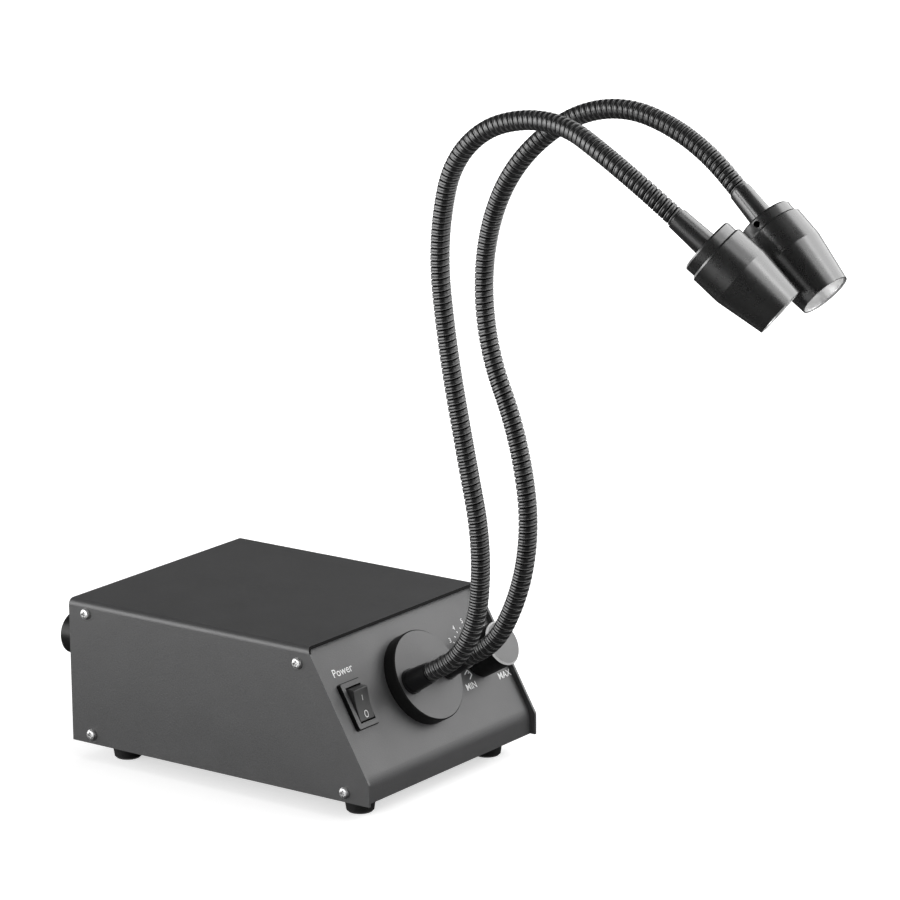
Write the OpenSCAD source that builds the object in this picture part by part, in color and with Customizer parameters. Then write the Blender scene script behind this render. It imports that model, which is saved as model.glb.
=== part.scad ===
// Dual gooseneck illuminator: a sloped-front sheet-metal lamp housing that carries two ribbed
// goosenecks, each ending in a turned lamp head. All sizes are in millimetres.
// X runs to the right, Y to the back and Z up. The origin is on the bench, under the middle of
// the housing. Left and right are as seen by someone who faces the front panel.

/* [Housing] */
// Width over the side plates of the cover
body_w = 131.5; // [124:0.5:160]
// Depth of the side plates from front to back
body_d = 177.5; // [160:0.5:220]
// Height of the side plates
body_h = 70; // [66:0.5:84]
// Distance from the front edge of the side plates back to the top of the slope
slope_run = 34.5; // [30:0.5:40]
// Height of the short upright front edge of the side plates
lip_h = 10.5; // [8:0.5:13]
// Thickness of the cover sheet
cover_t = 1.2; // [1:0.1:1.6]
// Thickness of the chassis sheet
chassis_t = 1.5; // [1.2:0.1:2]
// Clearance between the chassis and each side plate
side_gap = 0.2; // [0.1:0.05:0.4]
// Clearance between the top flanges of the chassis and the cover
top_gap = 0.3; // [0.2:0.1:0.6]
// Outer radius of the folds along the top of the cover
top_fold_r = 3; // [2:0.1:5]
// Depth of the front panel behind the sloped edges of the side plates
panel_inset = 2.5; // [1.5:0.1:4]
// Distance of the upright foot of the panel behind the front edge of the side plates
nose_back = 2.8; // [2.5:0.1:4]
// Outer radius of the soft fold at the foot of the panel
panel_fold_r = 12; // [8:0.5:14]
// Distance of the rear panel in front of the rear edges of the side plates
rear_inset = 0.8; // [0.5:0.1:3]
// Height of the side flanges along the bottom of the chassis
flange_h = 11; // [10:0.5:14]
// Depth of the side flanges of the front and rear panels
flange_depth = 13; // [12:0.5:16]

/* [Feet] */
// Height of the side plates above the bench
foot_drop = 9; // [7:0.5:14]
// Diameter of a foot where it meets the chassis
foot_top_d = 15.5; // [12:0.5:18]
// Diameter of a foot where it meets the bench
foot_bottom_d = 13; // [10:0.5:16]
// Distance of the feet from the side plates
foot_side = 16; // [12:0.5:24]
// Distance of the front feet from the front edge
foot_front = 17.5; // [14:0.5:30]
// Distance of the rear feet from the rear edge
foot_rear = 20.5; // [14:0.5:30]

/* [Front panel] */
// Distance up the slope to the row of controls
row_s = 36.2; // [34:0.2:40]
// Distance of the switch from the middle of the panel
switch_x = 46.8; // [42:0.1:48]
// Distance of the knob from the middle of the panel
knob_x = 46.3; // [42:0.1:48]
// Diameter of the round neck boss
boss_d = 44.5; // [43:0.5:50]
// Thickness of the neck boss
boss_h = 7; // [5:0.5:10]
// Distance between the two necks at the boss
neck_gap = 28; // [26:0.5:29]

/* [Rocker switch] */
// Height of the switch frame up the slope
switch_h = 22.3; // [21:0.1:24]
// Width of the switch frame
switch_w = 15.8; // [15:0.1:18]
// Height of the switch frame above the panel
switch_lip = 2; // [1.5:0.1:3]
// Width of the rocker
rocker_w = 10.4; // [9:0.1:11]
// Tilt of the rocker either side of its middle position
rocker_tilt = 14; // [8:1:15]
// Radius of the rocker's ends about its pivot
rocker_r = 8.6; // [8:0.1:9]

/* [Dimmer] */
// Diameter of the knob
knob_d = 22; // [20:0.5:26]
// Height of the knob with its cap
knob_h = 17; // [14:0.5:20]
// Clearance between the knob and the panel
knob_lift = 0.8; // [0.5:0.1:2]
// Diameter of the dimmer shaft
shaft_d = 6; // [5:0.1:6.4]
// Angle of the knob's pointer, from the right-hand side of the panel towards its top
pointer_angle = 17; // [-45:1:225]

/* [Goosenecks] */
// Length of each neck between its two ferrules
neck_len = 397; // [380:1:440]
// Outer diameter over the ribs
neck_d = 8.6; // [8:0.1:9.2]
// Depth of the grooves between the ribs
groove_depth = 0.55; // [0.3:0.05:0.7]
// Diameter of the bore
neck_bore = 5.4; // [5:0.1:5.6]
// Distance between ribs
rib_pitch = 4; // [4:0.5:8]
// Straight length at each end of a neck
neck_stub = 9; // [9:0.5:12]
// Length of each of the two tighter bends next to the boss
base_arc = 20; // [15:1:30]

/* [Ferrules] */
// Diameter of a ferrule at the neck
ferrule_small_d = 10; // [9.2:0.1:10.5]
// Diameter of a ferrule at its thick end
ferrule_big_d = 11.2; // [10.5:0.1:12]
// Length of the visible part of a base ferrule
base_ferrule_len = 13; // [10:0.5:18]
// Length of the visible part of a head ferrule
head_ferrule_len = 17; // [14:0.5:24]
// Diameter of the shank of each ferrule
shank_d = 8; // [7.5:0.1:8.4]

/* [Lamp heads] */
// Diameter of the end cap
cap_d = 26.5; // [24:0.5:28]
// Thickness of the end cap outside the shell
cap_h = 5.5; // [5:0.1:7]
// Diameter of the shell at its rear edge
shell_rear_d = 29.2; // [28:0.1:30]
// Largest diameter of the shell
shell_max_d = 29.8; // [29.4:0.1:32]
// Diameter of the shell at its mouth
shell_mouth_d = 23.7; // [23:0.1:25]
// Length of the shell
shell_len = 37.5; // [35:0.5:44]
// Distance from the rear edge of the shell to its largest diameter
shell_max_at = 14.5; // [12:0.5:17]
// Width of the rim around the mouth
mouth_rim = 0.7; // [0.5:0.05:1]

/* [Rear panel] */
// Distance of the mains inlet to the right of the middle
inlet_x = 26; // [20:0.5:30]
// Height of the middle of the mains inlet above the bottom of the chassis
inlet_z = 35; // [30:0.5:38]
// Distance of the fuse cap to the left of the middle
fuse_x = 48.2; // [44:0.1:50]
// Height of the middle of the fuse cap above the bottom of the chassis
fuse_z = 47.3; // [44:0.1:50]
// Diameter of the fuse cap
fuse_cap_d = 20.5; // [18:0.5:22]
// Distance that the fuse cap stands out from the rear edges of the side plates
fuse_cap_out = 13; // [10:0.5:16]

/* [Hidden] */
$fn = 64;

// Housing places and panel directions
over = 1;
edge_y = -body_d / 2;
edge_z = foot_drop;
panel_tilt = atan2(body_h - lip_h, slope_run);
panel_y0 = panel_inset * sin(panel_tilt);
panel_z0 = lip_h - panel_inset * cos(panel_tilt);
panel_up = [0, cos(panel_tilt), sin(panel_tilt)];
panel_out = [0, -sin(panel_tilt), cos(panel_tilt)];
nose_s = (nose_back - panel_y0) / cos(panel_tilt);
nose_z = panel_z0 + nose_s * sin(panel_tilt);
fold_tangent = panel_fold_r * tan((90 - panel_tilt) / 2);
fold_centre = [nose_back + panel_fold_r, nose_z - fold_tangent];
fold_steps = 6;
chassis_w = body_w - 2 * cover_t - 2 * side_gap;
chassis_top = body_h - cover_t - top_gap;
panel_len = (chassis_top - panel_z0) / sin(panel_tilt);
rear_face = body_d - rear_inset;
top_flange = 10;

// Fasteners
m3_r = 1.5;
m3_hole_r = 1.7;
m3_head_r = 2.7;
m3_head_h = 1.6;
m3_dome = [[1, 0.45], [0.8, 0.85], [0.5, 1]];
slip = 0.05;
screw_len = 6;
cross_w = 0.9;
cross_len = 3.2;
cross_depth = 1.1;
low_screw_z = 4.5;
low_screw_front = 14;
low_screw_rear = 12;
slope_screw_back = 5.5;
slope_screw_down = 8.3;
top_screw_rear = 10.5;
top_screw_down = 6;
cover_screw_spots = [
    [low_screw_front, low_screw_z], [body_d - low_screw_rear, low_screw_z],
    [slope_run + slope_screw_back, body_h - slope_screw_down],
    [body_d - top_screw_rear, body_h - top_screw_down]
];

// Feet
foot_spots = [[-1, foot_front], [1, foot_front], [-1, body_d - foot_rear], [1, body_d - foot_rear]];
foot_recess_r = 3.4;
foot_recess_h = 4.5;
foot_edge = 0.8;

// Switch
switch_wall = 1.2;
switch_body_w = 13.2;
switch_body_h = 19.4;
switch_depth = 12;
rocker_valley = 3.4;
rocker_rise = 0.5;
rocker_depth = 4.5;
pivot_r = 1.2;
pivot_len = 0.6;
pivot_below = 0.6;
rocker_gap = 0.25;
terminal_w = 4.8;
terminal_t = 0.8;
terminal_len = 8;
terminal_step = 7;

// Dimmer
bush_r = 3.5;
bush_len = 4;
pot_r = 8;
pot_depth = 9;
pot_floor = 1;
run_fit = 0.05;
knob_cap_h = 1.6;
knob_cap_edge = 0.8;
knob_recess_r = 7;
knob_recess_h = 3.5;
knob_bore_h = knob_h - 2 * knob_cap_h;
shaft_gap = 1;
pot_nut_r = 5.8;
pot_nut_h = 2;
pointer_w = 1.2;
pointer_depth = 0.6;

// Goosenecks: lengths and bends of the arcs from the boss to the head
sides = 8;
neck_r = neck_d / 2;
bore_r = neck_bore / 2;
main_arc = (neck_len - 2 * neck_stub - 2 * base_arc) / 7;
left_bends = [33, 18, 20, -1, -5, -20, -58, -39, -37];
left_rolls = [-4, 14, -1, -8, 2, 1, 0, -28, 46];
right_bends = [30, 10, 31, 16, -25, -35, -28, -45, -31];
right_rolls = [0, 6, -10, 2, -2, -18, 21, -12, 3];
cup_r = neck_r + 0.65;
ball_steps = [25];
bore_step = 8;
neck_joints = 4;

// Ferrules and heads
flange_r = 6.1;
flange_h_base = 1.4;
boss_edge = 0.5;
spigot_len = 6;
spigot_r = bore_r * cos(180 / sides) - 0.08;
lead_bore_r = 1.7;
base_shank = boss_h + chassis_t + 7;
locknut_r = 6.4;
locknut_h = 3;
head_shank = 8;
cap_spigot_r = shell_rear_d / 2 - 2.2;
cap_spigot_h = 4;
pedestal_r = 8.5;
pedestal_h = 3;
board_r = 10;
board_h = 1.6;
led_base_r = 3;
led_base_h = 0.8;
led_dome_r = 2.2;
reflector_t = 0.6;
reflector_throat_r = 3.8;
reflector_steps = 12;
reflector_in = 0.6;
grub_r = 1.5;
grub_len = 5;
grub_angle = 70;
head_edge = 0.8;

// Inner pieces
board_w = 96;
board_d = 74;
board_t = 1.6;
board_x = 0;
board_y = 112;
board_lift = 6;
board_hole_in = 4;
spacer_r = 3.5;
spacer_spigot_r = 2.6;
core_w = 32;
core_d = 13;
core_h = 26;
core_leg = 9;
core_yoke = 5;
core_window = core_w / 2 - core_leg;
winding_gap = 0.4;
core_corner = 2;
core_at = [22, 8];
big_cap_at = [-22, 12];
small_cap_at = [[-22, -8], [-36, 12]];
sink_at = [18, -22];
block_at = [-22, -28];
big_cap_r = 8;
big_cap_h = 25;
small_cap_r = 5;
small_cap_h = 18;
sink_w = 40;
sink_h = 26;
sink_t = 3;
fin_len = 8;
fin_t = 1.6;
fin_count = 7;
block_w = 30;
block_d = 8;
block_h = 10;
block_ways = 6;

// Mains inlet and fuse
inlet_flange_w = 50;
inlet_flange_h = 23;
inlet_flange_t = 2.5;
inlet_body_w = 27;
inlet_body_h = 19.6;
inlet_body_d = 17;
inlet_socket_w = 24.4;
inlet_socket_h = 16.6;
inlet_socket_d = 15;
inlet_hole_x = 20;
inlet_corner = 3;
pin_w = 2;
pin_h = 4;
pin_front = 4;
pin_back = 9;
pin_x = 7;
pin_z = 2;
fuse_body_r = 6;
fuse_body_len = 30;
fuse_flange_r = 9.4;
fuse_flange_h = 2;
fuse_mouth_r = 4.3;
fuse_mouth_h = 6;
fuse_floor = 2;
fuse_nut_r = 9;
fuse_nut_h = 3;
fuse_r = 2.5;
fuse_len = 20;
earth_x = 56;
earth_y = 150;
earth_r = 2;
earth_h = 14;
earth_collar_r = 4;
earth_collar_h = 3.2;

// Places on the housing and on its panel
module housing() {
    translate([0, edge_y, edge_z]) children();
}

module on_panel(x, out = 0) {
    translate([0, edge_y, edge_z + lip_h])
        rotate([panel_tilt, 0, 0])
            translate([x, row_s, out - panel_inset]) children();
}

module on_rear(x, z) {
    translate([x, edge_y + rear_face, edge_z + z]) rotate([90, 0, 180]) children();
}

module along_x(w) {
    rotate([90, 0, 90]) linear_extrude(w, center = true) children();
}

// Plain profiles
module round_top(w, h, r) {
    translate([-w / 2, 0]) square([w, h - r]);
    translate([-w / 2 + r, 0]) square([w - 2 * r, h]);
    for (side = [-1, 1])
        translate([side * (w / 2 - r), h - r]) circle(r);
}

module round_box(w, h, r) {
    square([w - 2 * r, h], center = true);
    square([w, h - 2 * r], center = true);
    for (x = [-1, 1], y = [-1, 1])
        translate([x * (w / 2 - r), y * (h / 2 - r)]) circle(r);
}

// Fasteners: the head's seat is at z = 0 and the shank points down
module pan_screw(length) {
    difference() {
        union() {
            rotate_extrude()
                polygon(concat(
                    [[0, m3_head_h], [0, 0], [m3_head_r, 0]],
                    [for (p = m3_dome) [p[0] * m3_head_r, p[1] * m3_head_h]]
                ));
            translate([0, 0, -length]) cylinder(r = m3_r, h = length + slip);
        }
        for (turn = [0, 90])
            rotate(turn)
                translate([-cross_len / 2, -cross_w / 2, m3_head_h - cross_depth])
                    cube([cross_len, cross_w, m3_head_h]);
    }
}

module set_screw() {
    difference() {
        cylinder(r = grub_r, h = grub_len);
        translate([0, 0, grub_len / 2]) cylinder(r = grub_r / 2, h = grub_len, $fn = 6);
    }
}

module hex_nut(r, h, hole) {
    difference() {
        cylinder(r = r, h = h, $fn = 6);
        translate([0, 0, -over]) cylinder(r = hole, h = h + 2 * over, $fn = 48);
    }
}

module cover_screw_places() {
    for (side = [-1, 1], spot = cover_screw_spots)
        translate([side * body_w / 2, spot[0], spot[1]]) rotate([0, side * 90, 0]) children();
}

// Chassis: its sheet is seen from the side, with the depth measured in from the outer face
function panel_at(s, depth) = [
    panel_y0 + s * cos(panel_tilt) + depth * sin(panel_tilt),
    panel_z0 + s * sin(panel_tilt) - depth * cos(panel_tilt)
];

function fold_at(depth) = [
    for (i = [0:fold_steps])
        let (a = panel_tilt + 90 + (90 - panel_tilt) * i / fold_steps)
        fold_centre + (panel_fold_r - depth) * [cos(a), sin(a)]
];

function chassis_path(depth) =
    let (
        top = chassis_top - depth,
        corner_s = (top - panel_z0 + depth * cos(panel_tilt)) / sin(panel_tilt)
    )
    concat(
        [[panel_at(panel_len, 0)[0] + top_flange, top], panel_at(corner_s, depth)],
        fold_at(depth),
        [
            [nose_back + depth, depth], [rear_face - depth, depth], [rear_face - depth, top],
            [rear_face - top_flange, top]
        ]
    );

module chassis_section() {
    inner = chassis_path(chassis_t);
    polygon(concat(chassis_path(0), [for (i = [len(inner) - 1:-1:0]) inner[i]]));
}

module flange_section() {
    intersection() {
        polygon(chassis_path(chassis_t / 2));
        union() {
            square([body_d, flange_h]);
            translate([panel_y0, panel_z0])
                rotate(panel_tilt)
                    translate([nose_s, -flange_depth]) square([panel_len - nose_s, flange_depth]);
            translate([rear_face - flange_depth, 0]) square([flange_depth, chassis_top]);
        }
    }
}

module foot_places() {
    for (spot = foot_spots)
        translate([spot[0] * (body_w / 2 - foot_side), spot[1], 0]) children();
}

module chassis() {
    color("dimgray")
    difference() {
        housing() {
            difference() {
                union() {
                    along_x(chassis_w) chassis_section();
                    for (side = [-1, 1])
                        translate([side * (chassis_w - chassis_t) / 2, 0, 0])
                            along_x(chassis_t) flange_section();
                }
                cover_screw_places()
                    translate([0, 0, -screw_len - over]) cylinder(r = m3_r + slip, h = screw_len);
                foot_places()
                    translate([0, 0, -over]) cylinder(r = m3_r + slip, h = chassis_t + 2 * over);
                board_places()
                    translate([0, 0, -over])
                        cylinder(r = spacer_spigot_r + slip, h = chassis_t + 2 * over);
                translate([earth_x, earth_y, -over])
                    cylinder(r = earth_r + slip, h = chassis_t + 2 * over);
            }
        }
        on_panel(0, -chassis_t - over) {
            for (side = [-1, 1]) {
                translate([side * neck_gap / 2, 0, 0])
                    cylinder(r = shank_d / 2 + slip, h = chassis_t + 2 * over);
                translate([0, side * boss_d / 3, 0])
                    cylinder(r = m3_hole_r, h = chassis_t + 2 * over);
            }
            translate([knob_x, 0, 0]) cylinder(r = bush_r + slip, h = chassis_t + 2 * over);
            translate([-switch_x, 0, 0])
                linear_extrude(chassis_t + 2 * over)
                    square([switch_body_w + 2 * slip, switch_body_h + 2 * slip], center = true);
        }
        on_rear(inlet_x, inlet_z)
            translate([0, 0, -chassis_t - over]) {
                linear_extrude(chassis_t + 2 * over)
                    round_box(inlet_body_w + 2 * slip, inlet_body_h + 2 * slip, inlet_corner);
                for (side = [-1, 1])
                    translate([side * inlet_hole_x, 0, 0])
                        cylinder(r = m3_r + slip, h = chassis_t + 2 * over);
            }
        on_rear(-fuse_x, fuse_z)
            translate([0, 0, -chassis_t - over])
                cylinder(r = fuse_body_r + slip, h = chassis_t + 2 * over);
    }
}

// Cover
module cover() {
    color("dimgray")
    housing()
        difference() {
            intersection() {
                translate([0, body_d, 0])
                    rotate([90, 0, 0])
                        linear_extrude(body_d)
                            difference() {
                                round_top(body_w, body_h, top_fold_r);
                                translate([0, -over])
                                    round_top(body_w - 2 * cover_t, body_h - cover_t + over,
                                        top_fold_r - cover_t);
                            }
                along_x(body_w + 2 * over)
                    polygon([
                        [0, 0], [body_d, 0], [body_d, body_h], [slope_run, body_h], [0, lip_h]
                    ]);
            }
            cover_screw_places()
                translate([0, 0, -cover_t - over]) cylinder(r = m3_hole_r, h = cover_t + 2 * over);
        }
}

module cover_screws() {
    color("silver")
    housing() cover_screw_places() pan_screw(screw_len);
}

// Feet
module foot(spot) {
    color("black")
    translate([spot[0] * (body_w / 2 - foot_side), edge_y + spot[1], 0])
        rotate_extrude()
            polygon([
                [m3_hole_r, foot_recess_h], [foot_recess_r, foot_recess_h], [foot_recess_r, 0],
                [foot_bottom_d / 2 - foot_edge, 0], [foot_bottom_d / 2, foot_edge],
                [foot_top_d / 2, foot_drop], [m3_hole_r, foot_drop]
            ]);
}

module foot_screws() {
    color("silver")
    translate([0, edge_y, 0])
        foot_places()
            translate([0, 0, foot_recess_h])
                rotate([180, 0, 0]) pan_screw(foot_drop - foot_recess_h + 2 * chassis_t);
}

// Neck boss and what holds it
module neck_boss() {
    color("dimgray")
    on_panel(0)
        difference() {
            rotate_extrude()
                polygon([
                    [0, 0], [boss_d / 2, 0], [boss_d / 2, boss_h - boss_edge],
                    [boss_d / 2 - boss_edge, boss_h], [0, boss_h]
                ]);
            for (side = [-1, 1]) {
                translate([side * neck_gap / 2, 0, -over])
                    cylinder(r = shank_d / 2 + slip, h = boss_h + 2 * over);
                translate([0, side * boss_d / 3, -over])
                    cylinder(r = m3_r + slip, h = screw_len - chassis_t + 2 * over);
            }
        }
}

module base_ferrule(side) {
    color("black")
    on_panel(side * neck_gap / 2, boss_h)
        rotate_extrude()
            polygon([
                [lead_bore_r, -base_shank], [shank_d / 2, -base_shank], [shank_d / 2, 0],
                [flange_r, 0], [flange_r, flange_h_base], [ferrule_big_d / 2, flange_h_base],
                [ferrule_small_d / 2, base_ferrule_len], [spigot_r, base_ferrule_len],
                [spigot_r, base_ferrule_len + spigot_len], [lead_bore_r, base_ferrule_len + spigot_len]
            ]);
}

module neck_locknuts() {
    color("silver")
    for (side = [-1, 1])
        on_panel(side * neck_gap / 2, -chassis_t - locknut_h)
            hex_nut(locknut_r, locknut_h, shank_d / 2 + slip);
}

// Route of a neck: a frame is [point, normal, binormal, tangent]
function turned(v, axis, a) =
    v * cos(a) + cross(axis, v) * sin(a) + axis * (axis * v) * (1 - cos(a));

function start_frame(side) = [
    [side * neck_gap / 2, edge_y, edge_z + lip_h] + row_s * panel_up
        + (boss_h + base_ferrule_len - panel_inset) * panel_out,
    panel_up, cross(panel_out, panel_up), panel_out
];

// An arc is [length, bend, roll]; the frame is carried a distance d along it
function carried(f, arc, d) =
    let (
        a = arc[1] * d / arc[0],
        toward = f[1] * cos(arc[2]) + f[2] * sin(arc[2]),
        axis = cross(f[3], toward),
        r = arc[1] == 0 ? 0 : arc[0] / (arc[1] * PI / 180),
        step = arc[1] == 0 ? f[3] * d : f[3] * r * sin(a) + toward * r * (1 - cos(a))
    )
    [f[0] + step, turned(f[1], axis, a), turned(f[2], axis, a), turned(f[3], axis, a)];

function route_frame(f, arcs, s, i = 0) =
    s <= arcs[i][0] || i == len(arcs) - 1
        ? carried(f, arcs[i], s)
        : route_frame(carried(f, arcs[i], arcs[i][0]), arcs, s - arcs[i][0], i + 1);

function route_arcs(bends, rolls) = concat(
    [[neck_stub, 0, 0]],
    [for (i = [0:len(bends) - 1]) [i < 2 ? base_arc : main_arc, bends[i], rolls[i]]],
    [[neck_stub, 0, 0]]
);

function neck_frame(side, s) =
    route_frame(
        start_frame(side),
        side < 0 ? route_arcs(left_bends, left_rolls) : route_arcs(right_bends, right_rolls),
        s
    );

// Place along a neck of joint i, counted from 1 at the boss
function joint_s(i) = neck_len * (2 * i - 1) / (2 * neck_joints);

function ring(f, ahead, r) = [
    for (k = [0:sides - 1])
        f[0] + f[3] * ahead + r * (f[1] * cos(360 * k / sides) + f[2] * sin(360 * k / sides))
];

function reach(r, inner) = sqrt(r * r - inner * inner);

// Rings of one neck piece: ribs outside, then the far end, the bore and the near end
function neck_rings(side, s0, s1, cup, ball) =
    let (
        first = cup ? s0 + reach(cup_r, neck_r) : s0,
        ribs = round((s1 - first) / rib_pitch),
        outer = [
            for (i = [0:2 * ribs])
                ring(neck_frame(side, first + (s1 - first) * i / (2 * ribs)), 0,
                    i % 2 == 0 ? neck_r : neck_r - groove_depth)
        ],
        end = neck_frame(side, s1),
        tip = ball
            ? concat(
                [for (a = ball_steps) ring(end, neck_r * sin(a), neck_r * cos(a))],
                [ring(end, reach(neck_r, bore_r), bore_r)]
            )
            : [ring(end, 0, bore_r)],
        start = neck_frame(side, s0),
        bore_near = cup ? reach(cup_r, bore_r) : 0,
        steps = ceil((s1 - s0 - bore_near) / bore_step),
        bore = [
            for (i = [1:steps - 1])
                ring(neck_frame(side, s1 - (s1 - s0 - bore_near) * i / steps), 0, bore_r)
        ],
        mid_r = (neck_r + bore_r) / 2,
        mouth = cup
            ? [ring(start, bore_near, bore_r), ring(start, reach(cup_r, mid_r), mid_r)]
            : [ring(start, 0, bore_r)]
    )
    concat(outer, tip, bore, mouth);

module neck_piece(side, i) {
    s0 = i == 1 ? 0 : joint_s(i - 1);
    s1 = i > neck_joints ? neck_len : joint_s(i);
    rings = neck_rings(side, s0, s1, i > 1, i <= neck_joints);
    count = len(rings);
    points = [for (r = rings) each r];
    faces = [
        for (i = [0:count - 1], k = [0:sides - 1])
            let (
                near = i * sides,
                far = ((i + 1) % count) * sides,
                next = (k + 1) % sides
            )
            each [[near + k, far + k, far + next], [near + k, far + next, near + next]]
    ];
    color("dimgray") polyhedron(points, faces);
}

// Lamp heads: z runs from the end of the neck towards the mouth
module on_head(side) {
    f = neck_frame(side, neck_len);
    multmatrix([
        [f[1][0], f[2][0], f[3][0], f[0][0]],
        [f[1][1], f[2][1], f[3][1], f[0][1]],
        [f[1][2], f[2][2], f[3][2], f[0][2]],
        [0, 0, 0, 1]
    ]) children();
}

cap_z = head_ferrule_len;
shell_z = cap_z + cap_h;
mouth_z = shell_z + shell_len;
board_z = shell_z + cap_spigot_h + pedestal_h;
led_z = board_z + board_h;
rim_z = mouth_z - reflector_in;
throat_z = led_z;
mouth_in_r = shell_mouth_d / 2 - mouth_rim;
seat_in_r = cap_spigot_r + slip;

module head_ferrule(side) {
    color("black")
    on_head(side)
        rotate_extrude()
            polygon([
                [lead_bore_r, -spigot_len], [spigot_r, -spigot_len], [spigot_r, 0],
                [ferrule_small_d / 2, 0], [ferrule_big_d / 2, head_ferrule_len],
                [shank_d / 2, head_ferrule_len], [shank_d / 2, head_ferrule_len + head_shank],
                [lead_bore_r, head_ferrule_len + head_shank]
            ]);
}

module grub_place(side) {
    rotate(side < 0 ? grub_angle + 180 : grub_angle)
        translate([0, 0, cap_z + cap_h / 2]) rotate([0, 90, 0]) children();
}

module end_cap(side) {
    color("dimgray")
    on_head(side)
        difference() {
            rotate_extrude()
                polygon([
                    [shank_d / 2 + slip, cap_z], [cap_d / 2 - head_edge, cap_z],
                    [cap_d / 2, cap_z + head_edge], [cap_d / 2, shell_z], [cap_spigot_r, shell_z],
                    [cap_spigot_r, shell_z + cap_spigot_h], [pedestal_r, shell_z + cap_spigot_h],
                    [pedestal_r, board_z], [lead_bore_r, board_z],
                    [lead_bore_r, cap_z + head_shank + slip],
                    [shank_d / 2 + slip, cap_z + head_shank + slip]
                ]);
            grub_place(side) cylinder(r = grub_r + slip, h = cap_d);
        }
}

module grub_screw(side) {
    color("black")
    on_head(side) grub_place(side) translate([0, 0, shank_d / 2 + slip]) set_screw();
}

module shell(side) {
    color("dimgray")
    on_head(side)
        rotate_extrude()
            polygon([
                [seat_in_r, shell_z], [shell_rear_d / 2 - head_edge, shell_z],
                [shell_rear_d / 2, shell_z + head_edge],
                [shell_max_d / 2, shell_z + shell_max_at], [shell_mouth_d / 2, mouth_z],
                [mouth_in_r, mouth_z], [seat_in_r, led_z]
            ]);
}

// The reflector is a parabola from its throat to its rim
function bowl_r(z) =
    reflector_throat_r
        + (mouth_in_r - slip - reflector_t - reflector_throat_r)
            * sqrt((z - throat_z) / (rim_z - throat_z));

module reflector(side) {
    inner = [
        for (i = [0:reflector_steps])
            let (z = throat_z + (rim_z - throat_z) * pow(i / reflector_steps, 2))
            [bowl_r(z), z]
    ];
    outer = [for (i = [reflector_steps:-1:0]) inner[i] + [reflector_t, 0]];
    color("silver")
    on_head(side) rotate_extrude() polygon(concat(inner, outer));
}

module led_board(side) {
    color("white")
    on_head(side)
        translate([0, 0, board_z])
            difference() {
                cylinder(r = board_r, h = board_h);
                for (turn = [0, 180])
                    rotate(turn) translate([board_r, 0, -over]) cylinder(r = m3_r, h = board_h + 2 * over);
            }
}

module led(side) {
    color("gold")
    on_head(side)
        translate([0, 0, led_z]) {
            cylinder(r = led_base_r, h = led_base_h);
            translate([0, 0, led_base_h])
                intersection() {
                    sphere(led_dome_r);
                    cylinder(r = led_dome_r + over, h = led_dome_r + over);
                }
        }
}

// Rocker switch
module switch_frame() {
    cavity_h = 2 * (rocker_r + rocker_gap);
    cavity_w = rocker_w + 2 * rocker_gap;
    color("black")
    on_panel(-switch_x)
        difference() {
            union() {
                linear_extrude(switch_lip) round_box(switch_w, switch_h, head_edge);
                translate([0, 0, -switch_depth])
                    linear_extrude(switch_depth + slip)
                        square([switch_body_w, switch_body_h], center = true);
            }
            translate([0, 0, -switch_depth + switch_wall])
                linear_extrude(switch_depth + switch_lip)
                    square([cavity_w, cavity_h], center = true);
            translate([-cavity_w / 2 - pivot_len, 0, -pivot_below])
                rotate([0, 90, 0])
                    cylinder(r = pivot_r + run_fit, h = cavity_w + 2 * pivot_len);
        }
}

// The rocker is drawn in its middle position, then tilted with its upper end out
module rocker() {
    top = rocker_valley + rocker_rise;
    color("black")
    on_panel(-switch_x, -pivot_below)
        rotate([rocker_tilt, 0, 0]) {
            rotate([90, 0, 90])
                linear_extrude(rocker_w, center = true)
                    intersection() {
                        circle(rocker_r);
                        polygon([
                            [0, rocker_valley + pivot_below], [rocker_r, top + pivot_below],
                            [rocker_r, -pivot_r], [pivot_r, -rocker_depth],
                            [-pivot_r, -rocker_depth], [-rocker_r, -pivot_r],
                            [-rocker_r, top + pivot_below]
                        ]);
                    }
            rotate([0, 90, 0])
                cylinder(r = pivot_r, h = rocker_w + 2 * pivot_len, center = true);
        }
}

module switch_terminals() {
    color("silver")
    on_panel(-switch_x, -switch_depth - terminal_len)
        for (way = [-1, 0, 1])
            translate([0, way * terminal_step, terminal_len / 2])
                cube([terminal_w, terminal_t, terminal_len], center = true);
}

// Dimmer
module knob() {
    color("black")
    on_panel(knob_x, knob_lift)
        difference() {
            cylinder(d = knob_d, h = knob_h - knob_cap_h);
            translate([0, 0, -over]) cylinder(r = knob_recess_r, h = knob_recess_h + over);
            cylinder(r = shaft_d / 2 + slip, h = knob_bore_h);
            knob_screw_place() cylinder(r = grub_r + slip, h = knob_d);
            pointer_groove();
        }
}

module pointer_groove() {
    rotate(pointer_angle)
        translate([knob_d / 2 - pointer_depth, -pointer_w / 2, -over])
            cube([knob_d, pointer_w, knob_h + 2 * over]);
}

module knob_screw_place() {
    rotate(pointer_angle) translate([0, 0, knob_h / 2]) rotate([0, 90, 0]) children();
}

module knob_screw() {
    color("black")
    on_panel(knob_x, knob_lift)
        knob_screw_place() translate([0, 0, shaft_d / 2 + slip]) set_screw();
}

module knob_cap() {
    color("gray")
    on_panel(knob_x, knob_lift + knob_h - knob_cap_h)
        difference() {
            rotate_extrude()
                polygon([
                    [0, 0], [knob_d / 2, 0], [knob_d / 2, knob_cap_h - knob_cap_edge],
                    [knob_d / 2 - knob_cap_edge, knob_cap_h], [0, knob_cap_h]
                ]);
            pointer_groove();
        }
}

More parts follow.
